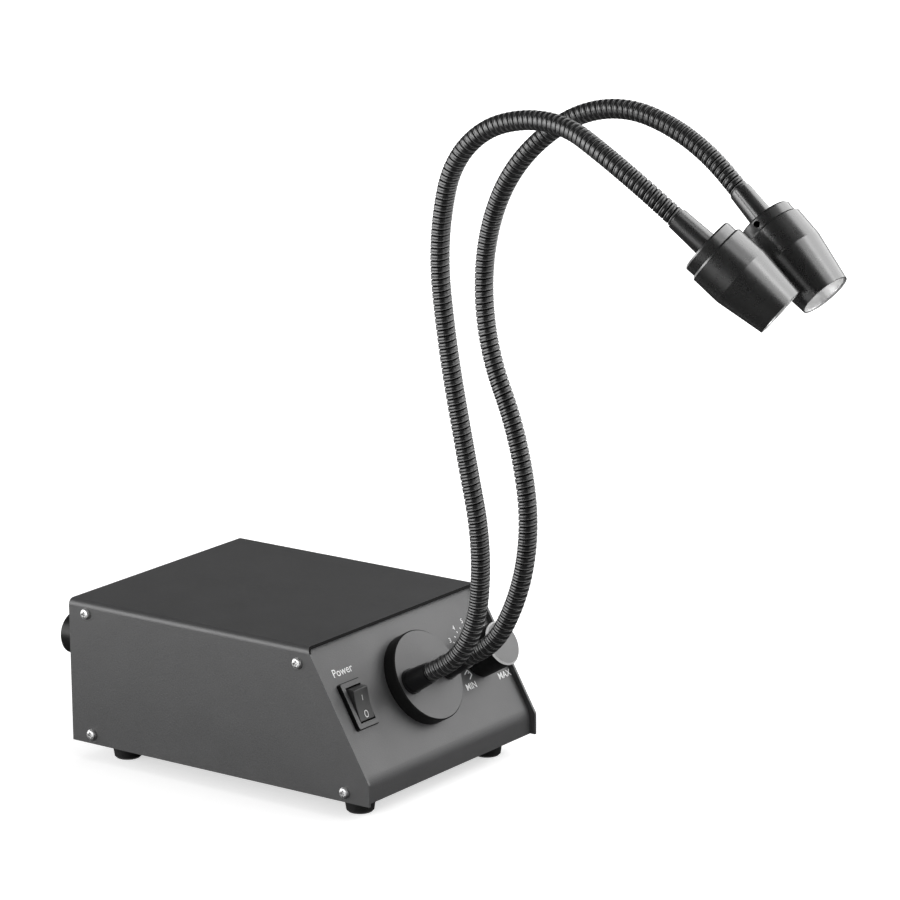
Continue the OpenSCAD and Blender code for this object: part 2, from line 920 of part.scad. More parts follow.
module dimmer_shaft() {
    low = -chassis_t - pot_depth + 2 * pot_floor;
    color("silver")
    on_panel(knob_x, low) cylinder(d = shaft_d, h = knob_lift + knob_bore_h - shaft_gap - low);
}

module dimmer_pot() {
    color("green")
    on_panel(knob_x, -chassis_t - pot_depth)
        difference() {
            union() {
                cylinder(r = pot_r, h = pot_depth);
                cylinder(r = bush_r, h = pot_depth + bush_len);
            }
            translate([0, 0, pot_floor])
                cylinder(r = shaft_d / 2 + run_fit, h = pot_depth + bush_len);
        }
}

module pot_nut() {
    color("silver")
    on_panel(knob_x) hex_nut(pot_nut_r, pot_nut_h, bush_r + slip);
}

// Inner pieces
module board_places() {
    for (x = [-1, 1], y = [-1, 1])
        translate([
            board_x + x * (board_w / 2 - board_hole_in), board_y + y * (board_d / 2 - board_hole_in), 0
        ]) children();
}

board_top = chassis_t + board_lift + board_t;

module driver_board() {
    color("darkgreen")
    housing()
        difference() {
            translate([board_x - board_w / 2, board_y - board_d / 2, chassis_t + board_lift])
                cube([board_w, board_d, board_t]);
            board_places() cylinder(r = m3_hole_r, h = board_top + over);
        }
}

module board_spacers() {
    color("white")
    housing()
        board_places()
            translate([0, 0, chassis_t])
                difference() {
                    union() {
                        cylinder(r = spacer_r, h = board_lift, $fn = 6);
                        translate([0, 0, -chassis_t]) cylinder(r = spacer_spigot_r, h = chassis_t + over);
                    }
                    translate([0, 0, -chassis_t - over])
                        cylinder(r = m3_r + slip, h = board_lift + chassis_t + 2 * over);
                }
}

module inner_screws() {
    color("silver") {
        housing()
            board_places() translate([0, 0, board_top]) pan_screw(screw_len);
        on_panel(0, -chassis_t)
            for (side = [-1, 1])
                translate([0, side * boss_d / 3, 0]) rotate([180, 0, 0]) pan_screw(screw_len);
        on_rear(inlet_x, inlet_z)
            for (side = [-1, 1])
                translate([side * inlet_hole_x, 0, inlet_flange_t]) pan_screw(screw_len);
    }
}

module on_board(at) {
    housing() translate([board_x + at[0], board_y + at[1], board_top]) children();
}

module transformer_core() {
    color("dimgray")
    on_board(core_at)
        difference() {
            translate([-core_w / 2, -core_d / 2, 0]) cube([core_w, core_d, core_h]);
            for (side = [-1, 1])
                translate([side * (core_leg + core_window) / 2 - core_window / 2, -core_d, core_yoke])
                    cube([core_window, 2 * core_d, core_h - 2 * core_yoke]);
        }
}

module transformer_winding() {
    out_x = core_leg / 2 + core_window - winding_gap;
    out_y = core_d / 2 + core_window - winding_gap;
    color("orange")
    on_board(core_at)
        translate([0, 0, core_yoke])
            linear_extrude(core_h - 2 * core_yoke - winding_gap)
                difference() {
                    round_box(2 * out_x, 2 * out_y, core_corner);
                    square([core_leg + winding_gap, core_d + winding_gap], center = true);
                }
}

module storage_capacitors() {
    color("navy") {
        on_board(big_cap_at) cylinder(r = big_cap_r, h = big_cap_h);
        for (at = small_cap_at)
            on_board(at) cylinder(r = small_cap_r, h = small_cap_h);
    }
}

module heat_sink() {
    fin_gap = (sink_w - fin_t) / (fin_count - 1);
    color("silver")
    on_board(sink_at) {
        translate([-sink_w / 2, 0, 0]) cube([sink_w, sink_t, sink_h]);
        for (i = [0:fin_count - 1])
            translate([-sink_w / 2 + i * fin_gap, sink_t - slip, 0]) cube([fin_t, fin_len, sink_h]);
    }
}

module terminal_block() {
    way = block_w / block_ways;
    color("green")
    on_board(block_at)
        difference() {
            translate([-block_w / 2, -block_d / 2, 0]) cube([block_w, block_d, block_h]);
            for (i = [0:block_ways - 1])
                translate([-block_w / 2 + (i + 0.5) * way, 0, block_h / 2])
                    cylinder(r = way / 3, h = block_h);
        }
}

// Rear panel pieces
module inlet() {
    color("black")
    on_rear(inlet_x, inlet_z)
        difference() {
            union() {
                linear_extrude(inlet_flange_t)
                    round_box(inlet_flange_w, inlet_flange_h, inlet_corner);
                translate([0, 0, -inlet_body_d])
                    linear_extrude(inlet_body_d + slip)
                        round_box(inlet_body_w, inlet_body_h, inlet_corner);
            }
            translate([0, 0, inlet_flange_t - inlet_socket_d])
                linear_extrude(inlet_socket_d + over)
                    polygon([
                        [-inlet_socket_w / 2, -inlet_socket_h / 2],
                        [inlet_socket_w / 2, -inlet_socket_h / 2],
                        [inlet_socket_w / 2, inlet_socket_h / 2 - inlet_corner],
                        [inlet_socket_w / 2 - inlet_corner, inlet_socket_h / 2],
                        [-inlet_socket_w / 2 + inlet_corner, inlet_socket_h / 2],
                        [-inlet_socket_w / 2, inlet_socket_h / 2 - inlet_corner]
                    ]);
            for (side = [-1, 1])
                translate([side * inlet_hole_x, 0, -over])
                    cylinder(r = m3_hole_r, h = inlet_flange_t + 2 * over);
            translate([0, 0, -inlet_body_d - over])
                linear_extrude(inlet_body_d) inlet_pin_section(2 * slip);
        }
}

module inlet_pin_section(gap) {
    for (spot = [[-pin_x, -pin_z], [pin_x, -pin_z], [0, pin_z]])
        translate(spot) square([pin_w + gap, pin_h + gap], center = true);
}

module inlet_pins() {
    color("silver")
    on_rear(inlet_x, inlet_z)
        translate([0, 0, -inlet_body_d - pin_back])
            linear_extrude(inlet_body_d + pin_back - pin_front) inlet_pin_section(0);
}

module fuse_holder() {
    color("black")
    on_rear(-fuse_x, fuse_z)
        rotate_extrude()
            polygon([
                [0, -fuse_body_len], [fuse_body_r, -fuse_body_len], [fuse_body_r, 0],
                [fuse_flange_r, 0], [fuse_flange_r, fuse_flange_h], [fuse_mouth_r, fuse_flange_h],
                [fuse_mouth_r, -fuse_mouth_h], [fuse_r + slip, -fuse_mouth_h],
                [fuse_r + slip, fuse_floor - fuse_body_len], [0, fuse_floor - fuse_body_len]
            ]);
}

module fuse_nut() {
    color("silver")
    on_rear(-fuse_x, fuse_z)
        translate([0, 0, -chassis_t - fuse_nut_h])
            hex_nut(fuse_nut_r, fuse_nut_h, fuse_body_r + slip);
}

module fuse_cap() {
    top = fuse_cap_out + rear_inset;
    stem_r = fuse_mouth_r - slip;
    color("black")
    on_rear(-fuse_x, fuse_z)
        rotate_extrude()
            polygon([
                [0, over - fuse_mouth_h], [stem_r, over - fuse_mouth_h], [stem_r, fuse_flange_h],
                [fuse_cap_d / 2, fuse_flange_h], [fuse_cap_d / 2, top - head_edge],
                [fuse_cap_d / 2 - head_edge, top], [0, top]
            ]);
}

module fuse() {
    color("gold")
    on_rear(-fuse_x, fuse_z)
        translate([0, 0, fuse_floor - fuse_body_len]) cylinder(r = fuse_r, h = fuse_len);
}

module earth_stud() {
    color("gold")
    housing()
        translate([earth_x, earth_y, 0]) {
            cylinder(r = earth_r, h = earth_h);
            translate([0, 0, chassis_t]) cylinder(r = earth_collar_r, h = earth_collar_h, $fn = 6);
        }
}

chassis();
cover();
cover_screws();
foot(foot_spots[0]);  // front_left_foot
foot(foot_spots[1]);  // front_right_foot
foot(foot_spots[2]);  // rear_left_foot
foot(foot_spots[3]);  // rear_right_foot
foot_screws();
neck_boss();
base_ferrule(-1);  // left_base_ferrule
base_ferrule(1);  // right_base_ferrule
neck_locknuts();
neck_piece(-1, 1);  // left_neck_1
neck_piece(-1, 2);  // left_neck_2
neck_piece(-1, 3);  // left_neck_3
neck_piece(-1, 4);  // left_neck_4
neck_piece(-1, 5);  // left_neck_5
neck_piece(1, 1);  // right_neck_1
neck_piece(1, 2);  // right_neck_2
neck_piece(1, 3);  // right_neck_3
neck_piece(1, 4);  // right_neck_4
neck_piece(1, 5);  // right_neck_5
head_ferrule(-1);  // left_head_ferrule
head_ferrule(1);  // right_head_ferrule
end_cap(-1);  // left_end_cap
end_cap(1);  // right_end_cap
shell(-1);  // left_shell
shell(1);  // right_shell
reflector(-1);  // left_reflector
reflector(1);  // right_reflector
led_board(-1);  // left_led_board
led_board(1);  // right_led_board
led(-1);  // left_led
led(1);  // right_led
grub_screw(-1);  // left_grub_screw
grub_screw(1);  // right_grub_screw
switch_frame();
rocker();
switch_terminals();
knob();
knob_cap();
knob_screw();
dimmer_shaft();
dimmer_pot();
pot_nut();
driver_board();
transformer_core();
transformer_winding();
storage_capacitors();
heat_sink();
terminal_block();
board_spacers();
inner_screws();
inlet();
inlet_pins();
fuse_holder();
fuse_nut();
fuse_cap();
fuse();
earth_stud();
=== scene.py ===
"""Looks for the dual gooseneck illuminator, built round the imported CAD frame.

Blender works in metres. The sizes of the object are written here in millimetres, as in part.scad,
and are turned into metres by MM. The room, the lamps and the fine grain of the materials are
written in metres. Angles are in degrees unless a line turns them into radians.
"""

import math

import bmesh
import bpy
import numpy as np
from mathutils import Matrix, Vector


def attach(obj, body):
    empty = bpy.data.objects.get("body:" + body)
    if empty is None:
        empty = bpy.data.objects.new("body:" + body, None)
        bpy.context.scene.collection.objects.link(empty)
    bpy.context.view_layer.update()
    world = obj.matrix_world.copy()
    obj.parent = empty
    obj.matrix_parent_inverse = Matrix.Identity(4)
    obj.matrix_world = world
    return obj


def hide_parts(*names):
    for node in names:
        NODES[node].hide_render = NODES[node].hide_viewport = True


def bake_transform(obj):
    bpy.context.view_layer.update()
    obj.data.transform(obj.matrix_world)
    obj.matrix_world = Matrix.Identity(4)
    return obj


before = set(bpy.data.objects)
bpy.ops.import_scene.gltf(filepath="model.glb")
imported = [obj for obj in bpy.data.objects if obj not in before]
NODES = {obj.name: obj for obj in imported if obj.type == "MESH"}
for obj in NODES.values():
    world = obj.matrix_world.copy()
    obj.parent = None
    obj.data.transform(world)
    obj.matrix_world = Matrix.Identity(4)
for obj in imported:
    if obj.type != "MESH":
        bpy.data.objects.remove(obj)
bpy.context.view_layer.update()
MM = 0.001

# ---------------------------------------------------------------- sizes shared with part.scad

BODY_D = 177.5
BODY_H = 70.0
SLOPE_RUN = 34.5
LIP_H = 10.5
FOOT_DROP = 9.0
PANEL_INSET = 2.5
ROW_S = 36.2
BOSS_H = 7.0
BASE_FERRULE_LEN = 13.0
NECK_GAP = 28.0
NECK_LEN = 397.0
NECK_STUB = 9.0
BASE_ARC = 20.0
MAIN_ARCS = 7
KNOB_X = 46.3
SWITCH_X = 46.8
SWITCH_W = 15.8
SWITCH_H = 22.3
SWITCH_CORNER = 0.8
ROCKER_TILT = 14.0
PIVOT_BELOW = 0.6

# How far each arc of a neck bends, and the side that it bends to
BENDS = {
    "left": [33, 18, 20, -1, -5, -20, -58, -39, -37],
    "right": [30, 10, 31, 16, -25, -35, -28, -45, -31],
}
ROLLS = {
    "left": [-4, 14, -1, -8, 2, 1, 0, -28, 46],
    "right": [0, 6, -10, 2, -2, -18, 21, -12, 3],
}
SIDES = {"left": -1, "right": 1}

TILT = math.atan2(BODY_H - LIP_H, SLOPE_RUN)
PANEL_UP = Vector((0, math.cos(TILT), math.sin(TILT)))
PANEL_OUT = Vector((0, -math.sin(TILT), math.cos(TILT)))
PANEL_TURN = Matrix.Rotation(TILT, 4, "X")


def panel_point(x, s, out=0.0):
    """A point on the front panel: x from its middle, s up the slope, out from its face."""
    edge = Vector((x, -BODY_D / 2, FOOT_DROP + LIP_H))
    return (edge + s * PANEL_UP + (out - PANEL_INSET) * PANEL_OUT) * MM


def on_panel(x, s, angle=0.0):
    """The matrix that lays a flat mesh on the panel. The angle is in radians."""
    return Matrix.Translation(panel_point(x, s)) @ PANEL_TURN @ Matrix.Rotation(angle, 4, "Z")


# ---------------------------------------------------------------- node trees

NOISE_ROUGHNESS = 0.55
RAMP_START = 0.3
RAMP_END = 0.7


class Tree:
    """Short ways to build a node tree. A value is a number, a colour or a node's output."""

    def __init__(self, tree):
        self.tree = tree

    def feed(self, socket, value):
        if hasattr(value, "is_output"):
            self.tree.links.new(value, socket)
        else:
            socket.default_value = value

    def node(self, kind, **inputs):
        """A new node. An input's name has _ where Blender has a space."""
        made = self.tree.nodes.new(kind)
        for key, value in inputs.items():
            self.feed(made.inputs[key.replace("_", " ")], value)
        return made

    def math(self, operation, first, second):
        made = self.tree.nodes.new("ShaderNodeMath")
        made.operation = operation
        self.feed(made.inputs[0], first)
        self.feed(made.inputs[1], second)
        return made.outputs["Value"]

    def vector_node(self, operation, first, second=(0.0, 0.0, 0.0)):
        made = self.tree.nodes.new("ShaderNodeVectorMath")
        made.operation = operation
        self.feed(made.inputs[0], first)
        self.feed(made.inputs[1], second)
        return made

    def dot(self, first, second):
        return self.vector_node("DOT_PRODUCT", first, second).outputs["Value"]

    def length(self, vector):
        return self.vector_node("LENGTH", vector).outputs["Value"]

    def minus(self, first, second):
        return self.vector_node("SUBTRACT", first, second).outputs["Vector"]

    def scaled(self, vector, factor):
        made = self.vector_node("SCALE", vector)
        self.feed(made.inputs["Scale"], factor)
        return made.outputs["Vector"]

    def height(self, vector):
        return self.node("ShaderNodeSeparateXYZ", Vector=vector).outputs["Z"]

    def span(self, value, start, end, low=0.0, high=1.0):
        """Goes from low to high while the value goes from start to end."""
        made = self.node(
            "ShaderNodeMapRange",
            Value=value,
            From_Min=start,
            From_Max=end,
            To_Min=low,
            To_Max=high,
        )
        return made.outputs["Result"]


class Graph(Tree):
    """The nodes of one material, about its Principled shader."""

    def __init__(self, name):
        self.material = bpy.data.materials.new(name)
        self.material.use_nodes = True
        super().__init__(self.material.node_tree)
        self.shader = self.tree.nodes["Principled BSDF"]
        coordinates = self.tree.nodes.new("ShaderNodeTexCoord")
        self.place = coordinates.outputs["Object"]
        self.facing = coordinates.outputs["Normal"]

    def set(self, **inputs):
        """Sets or links the shader's inputs."""
        for key, value in inputs.items():
            self.feed(self.shader.inputs[key.replace("_", " ")], value)

    def noise(self, scale, detail=3.0):
        made = self.node(
            "ShaderNodeTexNoise",
            Vector=self.place,
            Scale=scale,
            Detail=detail,
            Roughness=NOISE_ROUGHNESS,
        )
        return made.outputs["Fac"]

    def ramp(self, fac, low, high):
        made = self.node("ShaderNodeValToRGB", Fac=fac)
        first, last = made.color_ramp.elements
        first.position = RAMP_START
        first.color = low
        last.position = RAMP_END
        last.color = high
        return made.outputs["Color"]

    def bump(self, height, distance):
        made = self.node("ShaderNodeBump", Height=height, Distance=distance, Strength=1.0)
        return made.outputs["Normal"]

    def faces(self, direction, least):
        """1 where the surface looks along a direction, 0 elsewhere."""
        return self.math("GREATER_THAN", self.dot(self.facing, direction), least)

    def choose(self, mask, **inside):
        """Other values of the shader's inputs where the mask is 1."""
        for key, value in inside.items():
            socket = self.shader.inputs[key.replace("_", " ")]
            mix = self.tree.nodes.new("ShaderNodeMix")
            mix.data_type = "RGBA" if socket.type == "RGBA" else "FLOAT"
            first, second = [slot for slot in mix.inputs if slot.type == socket.type][-2:]
            before = socket.links[0].from_socket if socket.links else socket.default_value
            self.feed(mix.inputs["Factor"], mask)
            self.feed(first, before)
            self.feed(second, value)
            self.feed(socket, [slot for slot in mix.outputs if slot.type == socket.type][-1])


# ---------------------------------------------------------------- materials

# The patches of gloss are this much finer than the clouds of colour
PATCH_TO_CLOUD = 2.3
PATCH_DETAIL = 4.0
GRAIN_DETAIL = 2.0


def grey(value):
    return (value, value, value, 1.0)


def shifted(colour, factor):
    return tuple(min(1.0, part * factor) for part in colour[:3]) + (1.0,)


def surface(
    name, colour, rough, metallic=0.0, cloud=60.0, vary=0.1, grain=0.0, depth=0.0, spread=0.06
):
    """A material with cloudy colour, uneven gloss and a fine grain.

    cloud and grain are scales per metre, depth is the grain's depth in metres, and vary and
    spread are how far the colour and the roughness wander.
    """
    graph = Graph(name)
    colours = graph.ramp(graph.noise(cloud), shifted(colour, 1 - vary), shifted(colour, 1 + vary))
    patches = graph.noise(cloud * PATCH_TO_CLOUD, PATCH_DETAIL)
    gloss = graph.ramp(patches, grey(rough - spread), grey(rough + spread))
    graph.set(Metallic=metallic, Base_Color=colours, Roughness=gloss)
    if depth:
        graph.set(Normal=graph.bump(graph.noise(grain, GRAIN_DETAIL), depth))
    return graph


def plain(name, colour, rough, **finish):
    return surface(name, colour, rough, **finish).material


def metal(name, colour, rough, **finish):
    return plain(name, colour, rough, metallic=1.0, **finish)


def turned_surface(name, colour, rough, direction, step, depth):
    """Turned metal: fine rings about a direction, a step apart."""
    graph = surface(name, colour, rough, cloud=90.0, vary=0.08, spread=0.02)
    rings = graph.node("ShaderNodeTexNoise", Scale=1 / step, Detail=GRAIN_DETAIL)
    rings.noise_dimensions = "1D"
    graph.feed(rings.inputs["W"], graph.dot(graph.place, direction))
    graph.set(Normal=graph.bump(rings.outputs["Fac"], depth))
    return graph


def paint(name):
    graph = surface(
        name,
        (0.055, 0.055, 0.056),
        0.45,
        cloud=25.0,
        vary=0.05,
        grain=1500.0,
        depth=7e-5,
        spread=0.02,
    )
    graph.set(Specular_IOR_Level=1.0)
    return graph


# How squarely a surface has to look along a direction, up to 1, to count as an edge or a face
EDGE_LEAST = 0.3
FACE_LEAST = 0.85

# The front edge of the cover that shows lies within this distance of the top; it is painted near
# black as painted shade for the shadowed gap above the panel
SHADED_EDGE_BAND = 3.0


def edged_paint(name):
    """Housing paint whose front edge near the top is painted dull black: painted shade for the
    shadowed gap above the panel.
    """
    graph = paint(name)
    forward = graph.faces((0.0, -1.0, 0.0), EDGE_LEAST)
    band_from = (FOOT_DROP + BODY_H - SHADED_EDGE_BAND) * MM
    high = graph.math("GREATER_THAN", graph.height(graph.place), band_from)
    edge = graph.math("MULTIPLY", forward, high)
    # Painted shade: the cover's front edge near the top is painted near black, with little gloss,
    # for the shadowed gap above the panel
    graph.choose(edge, Base_Color=grey(0.004), Specular_IOR_Level=0.05)
    return graph.material


def walled_paint(name):
    """Paint on the face that looks out of the panel; the wall about it is painted dull black as
    painted shade.
    """
    graph = paint(name)
    shaded_wall = graph.math("SUBTRACT", 1.0, graph.faces(PANEL_OUT, FACE_LEAST))
    # Painted shade: the walls that look away from the panel are painted near black, with little
    # gloss
    graph.choose(shaded_wall, Base_Color=grey(0.011), Specular_IOR_Level=0.15)
    return graph.material


def black_moulding(name, shade, rough, shine):
    graph = surface(name, grey(shade), rough, grain=2400.0, depth=1e-5, spread=0.02)
    graph.set(Specular_IOR_Level=shine)
    return graph.material


def ferrule_paint():
    colour = (0.008, 0.008, 0.0085)
    graph = surface("black_ferrule", colour, 0.34, cloud=90.0, grain=3000.0, depth=8e-6)
    graph.set(Specular_IOR_Level=0.3)
    return graph.material


def lens_material():
    graph = Graph("clear_lens")
    graph.set(Base_Color=(0.95, 0.86, 0.45, 1.0), Roughness=0.08, Specular_IOR_Level=0.7)
    graph.set(Normal=graph.bump(graph.noise(scale=3000.0, detail=1.0), 4e-6))
    return graph.material


def tube_glass():
    graph = surface("fuse_glass", (0.75, 0.8, 0.8), 0.12, cloud=200.0, vary=0.05)
    graph.set(Alpha=0.6)
    return graph.material


def mirror_coat():
    white = grey(0.97)
    return plain("mirror_coat", white, 0.18, metallic=0.5, cloud=400.0, vary=0.02, spread=0.02)




# ---------------------------------------------------------------- route of a neck


def carried(state, arc, distance):
    """Carries a frame (point, normal, binormal, tangent) along an arc (length, bend, roll)."""
    point, normal, binormal, tangent = state
    length, bend, roll = arc
    if bend == 0:
        return point + tangent * distance, normal, binormal, tangent
    toward_bend = normal * math.cos(math.radians(roll)) + binormal * math.sin(math.radians(roll))
    angle = math.radians(bend) * distance / length
    radius = length / math.radians(bend)
    turn = Matrix.Rotation(angle, 3, tangent.cross(toward_bend))
    step = tangent * radius * math.sin(angle) + toward_bend * radius * (1 - math.cos(angle))
    return point + step, turn @ normal, turn @ binormal, turn @ tangent


def neck_arcs(side):
    """The arcs of a neck: two short ones at the base, the main ones, and straight stubs."""
    main = (NECK_LEN - 2 * NECK_STUB - 2 * BASE_ARC) / MAIN_ARCS
    lengths = [BASE_ARC, BASE_ARC] + [main] * MAIN_ARCS
    middle = list(zip(lengths, BENDS[side], ROLLS[side]))
    return [(NECK_STUB, 0, 0)] + middle + [(NECK_STUB, 0, 0)]


def neck_frame(side, s):
    """The frame at a distance of s mm along a neck. The point is in millimetres."""
    start = panel_point(SIDES[side] * NECK_GAP / 2, ROW_S, BOSS_H + BASE_FERRULE_LEN) / MM
    state = (start, PANEL_UP.copy(), PANEL_OUT.cross(PANEL_UP), PANEL_OUT.copy())
    arcs = neck_arcs(side)
    for arc in arcs[:-1]:
        if s <= arc[0]:
            return carried(state, arc, s)
        state = carried(state, arc, arc[0])
        s -= arc[0]
    return carried(state, arcs[-1], s)


# ---------------------------------------------------------------- mesh helpers

# In metres: points closer than the first are joined, and edges shorter than the second dissolved
WELD_WITHIN = 2e-6
SHORT_EDGE = 1e-6

# In degrees: edges that turn more than this are rounded
SHARP_FROM = 40.0


def new_object(name, points, faces, material, smooth=True):
    mesh = bpy.data.meshes.new(name)
    mesh.from_pydata([tuple(p) for p in points], [], faces)
    mesh.validate()
    mesh.update()
    made = bpy.data.objects.new(name, mesh)
    bpy.context.scene.collection.objects.link(made)
    made.data.materials.append(material)
    if smooth:
        mesh.shade_smooth()
    return made


def soften(piece, width, segments):
    """Rounds the sharp edges of a piece, in millimetres."""
    bevel = piece.modifiers.new("edges", "BEVEL")
    bevel.width = width * MM
    bevel.segments = segments
    bevel.limit_method = "ANGLE"
    bevel.angle_limit = math.radians(SHARP_FROM)


def weld(mesh):
    """Joins points that share a place and drops the faces this closes up."""
    shape = bmesh.new()
    shape.from_mesh(mesh)
    bmesh.ops.remove_doubles(shape, verts=shape.verts, dist=WELD_WITHIN)
    bmesh.ops.dissolve_degenerate(shape, edges=shape.edges, dist=SHORT_EDGE)
    bmesh.ops.recalc_face_normals(shape, faces=shape.faces)
    shape.to_mesh(mesh)
    shape.free()
    mesh.shade_smooth()


# ---------------------------------------------------------------- hoses

RIB_PITCH = 2.9
RIB_SIDES = 28
CREST_R = 4.5
ROOT_R = 3.85
BORE_R = 2.7
BORE_STEPS = 12

# One turn of the wound strip, as shares of the pitch and radii: a groove, a rolled edge, and a
# flat band with a fine bead along its middle
RIB_SHAPE = [
    (0.0, ROOT_R),
    (0.1, ROOT_R),
    (0.14, CREST_R - 0.2),
    (0.19, CREST_R - 0.03),
    (0.25, CREST_R),
    (0.3, CREST_R - 0.03),
    (0.35, CREST_R - 0.14),
    (0.42, CREST_R - 0.15),
    (0.6, CREST_R - 0.13),
    (0.65, CREST_R - 0.06),
    (0.7, CREST_R - 0.13),
    (0.86, CREST_R - 0.12),
    (0.92, CREST_R - 0.2),
    (0.96, ROOT_R + 0.1),
]

# Relief is 0 at the bottom of a groove and 1 on a crest. Crests above the first value are painted
# brighter as a painted highlight, and grooves below the second are painted near black as painted
# shade
HIGHLIGHT_CREST_FROM = 0.94
SHADED_GROOVE_TO = 0.35

# Each hose is four pieces
HOSE_PIECES = 4
PIECE_LEN = NECK_LEN / HOSE_PIECES
HALF_BEND = 30.0
REPLACED = [["{}_neck_1"], ["{}_neck_2"], ["{}_neck_3"], ["{}_neck_4", "{}_neck_5"]]


def wound_radius(s, k):
    """The radius of the wound strip at s mm along a neck, on its side k."""
    phase = (s / RIB_PITCH - k / RIB_SIDES) % 1.0
    shares = [share for share, _ in RIB_SHAPE] + [1.0]
    radii = [radius for _, radius in RIB_SHAPE] + [ROOT_R]
    return float(np.interp(phase, shares, radii))


def skin_point(at, k, radius):
    """A point on side k of a hose, at a radius from its frame. The point is in metres."""
    point, normal, binormal, _ = at
    a = 2 * math.pi * k / RIB_SIDES
    return (point + radius * (normal * math.cos(a) + binormal * math.sin(a))) * MM


def flat_ring(side, s, radii):
    """A ring of points square to a neck."""
    at = neck_frame(side, s)
    return [skin_point(at, k, radii[k]) for k in range(RIB_SIDES)]


def helix_row(side, start, end, turn, share, radius):
    """One row of points along the winding. It stays within the stretch from start to end."""
    row = []
    for k in range(RIB_SIDES):
        s = (turn + share + k / RIB_SIDES) * RIB_PITCH
        kept = min(max(s, start), end)
        here = radius if kept == s else wound_radius(kept, k)
        row.append(skin_point(neck_frame(side, kept), k, here))
    return row


def wound_rows(side, start, end):
    """The rows of the outside, and the relief of each.

    Turns begin before the start and go on past the end, so that every side of the hose has rows
    all the way. helix_row brings what lies beyond back to the rim.
    """
    rows = []
    reliefs = []
    first = int(start / RIB_PITCH) - 2
    last = int(end / RIB_PITCH) + 1
    for turn in range(first, last + 1):
        for share, radius in RIB_SHAPE:
            rows.append(helix_row(side, start, end, turn, share, radius))
            reliefs.append((radius - ROOT_R) / (CREST_R - ROOT_R))
    return rows, reliefs


def wound_faces(count):
    """Faces between rows. The last side of a row meets the first side one turn further on."""
    per_turn = len(RIB_SHAPE)
    faces = []
    for i in range(count - 1):
        for k in range(RIB_SIDES):
            here = i * RIB_SIDES + k
            above = here + RIB_SIDES
            if k + 1 < RIB_SIDES:
                faces.append((here, here + 1, above + 1, above))
            elif i + 1 + per_turn < count:
                across = (i + per_turn) * RIB_SIDES
                faces.append((here, across, across + RIB_SIDES, above))
    return faces


def lining_rings(side, start, end):
    """Rings from the rim at the start, through the bore, to the rim at the end."""
    sides = range(RIB_SIDES)
    rings = [flat_ring(side, start, [wound_radius(start, k) for k in sides])]
    for i in range(BORE_STEPS + 1):
        s = start + (end - start) * i / BORE_STEPS
        rings.append(flat_ring(side, s, [BORE_R] * RIB_SIDES))
    rings.append(flat_ring(side, end, [wound_radius(end, k) for k in sides]))
    return rings


def ring_faces(first, count):
    """Faces between flat rings, of which the first begins at a given point."""
    faces = []
    for i in range(count - 1):
        near = first + i * RIB_SIDES
        far = near + RIB_SIDES
        for k in range(RIB_SIDES):
            after = (k + 1) % RIB_SIDES
            faces.append((near + k, far + k, far + after, near + after))
    return faces


def hose_piece(name, side, start, end, material):
    """One stretch of hose: a wound outside, a plain bore and two flat ends."""
    rows, reliefs = wound_rows(side, start, end)
    rings = lining_rings(side, start, end)
    points = [point for row in rows + rings for point in row]
    faces = wound_faces(len(rows)) + ring_faces(len(rows) * RIB_SIDES, len(rings))
    relief = [height for height in reliefs for _ in range(RIB_SIDES)]
    relief += [0.0] * (len(points) - len(relief))
    piece = new_object(name, points, faces, material)
    piece.data.attributes.new("relief", "FLOAT", "POINT").data.foreach_set("value", relief)
    weld(piece.data)
    return piece


def hose_material():
    """Blackened steel strip with satin bands; the grooves are painted dull black as painted shade,
    and the crests a little brighter as a painted highlight.
    """
    colour = (0.012, 0.012, 0.0125)
    graph = surface("blackened_steel_strip", colour, 0.3, cloud=120.0, vary=0.2, spread=0.02)
    graph.set(IOR=1.65, Specular_IOR_Level=0.75)
    relief = graph.tree.nodes.new("ShaderNodeAttribute")
    relief.attribute_name = "relief"
    height = relief.outputs["Fac"]
    # Painted highlight: the crests are painted a little brighter
    graph.choose(graph.math("GREATER_THAN", height, HIGHLIGHT_CREST_FROM), Base_Color=grey(0.11))
    # Painted shade: the grooves are painted near black, with almost no gloss
    shaded_groove = graph.math("LESS_THAN", height, SHADED_GROOVE_TO)
    graph.choose(shaded_groove, Base_Color=grey(0.002), Specular_IOR_Level=0.02)
    return graph.material


def make_necks():
    material = hose_material()
    for side in SIDES:
        for i in range(HOSE_PIECES):
            name = "{}_hose_{}".format(side, i + 1)
            piece = hose_piece(name, side, i * PIECE_LEN, (i + 1) * PIECE_LEN, material)
            joint_s = (i + 0.5) * PIECE_LEN
            start = neck_frame(side, joint_s - HALF_BEND)[0] * MM
            end = neck_frame(side, joint_s + HALF_BEND)[0] * MM
            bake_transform(piece)
            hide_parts(*[node.format(side) for node in REPLACED[i]])


# ---------------------------------------------------------------- printed marks

INK_T = 0.04
INK_SPREAD = 0.03
CAPITAL_TO_SIZE = 0.73
LETTER_STEPS = 4
BAR_CORNER = 0.4
RING_STEPS = 40

WORD_H = 4.0
POWER_AT = (-47.0, 53.1)
LIMIT_H = 3.3
MIN_AT = (33.0, 23.8)
MAX_AT = (58.9, 22.8)

# The dial has a tick at each number and between numbers, also before the first and after the
# last. The last two numbers stand closer to the knob, clear of the panel's edge.
DIAL_NUMBERS = 9
DIAL_START = 216.0
DIAL_STEP = -25.2
NUMBER_H = 2.4
NUMBER_R = 17.8
EDGE_NUMBER_R = 17.0
LAST_WIDE_NUMBER = 7
TICK_R = 15.2
TICK_LEN = 1.0
TICK_W = 0.5

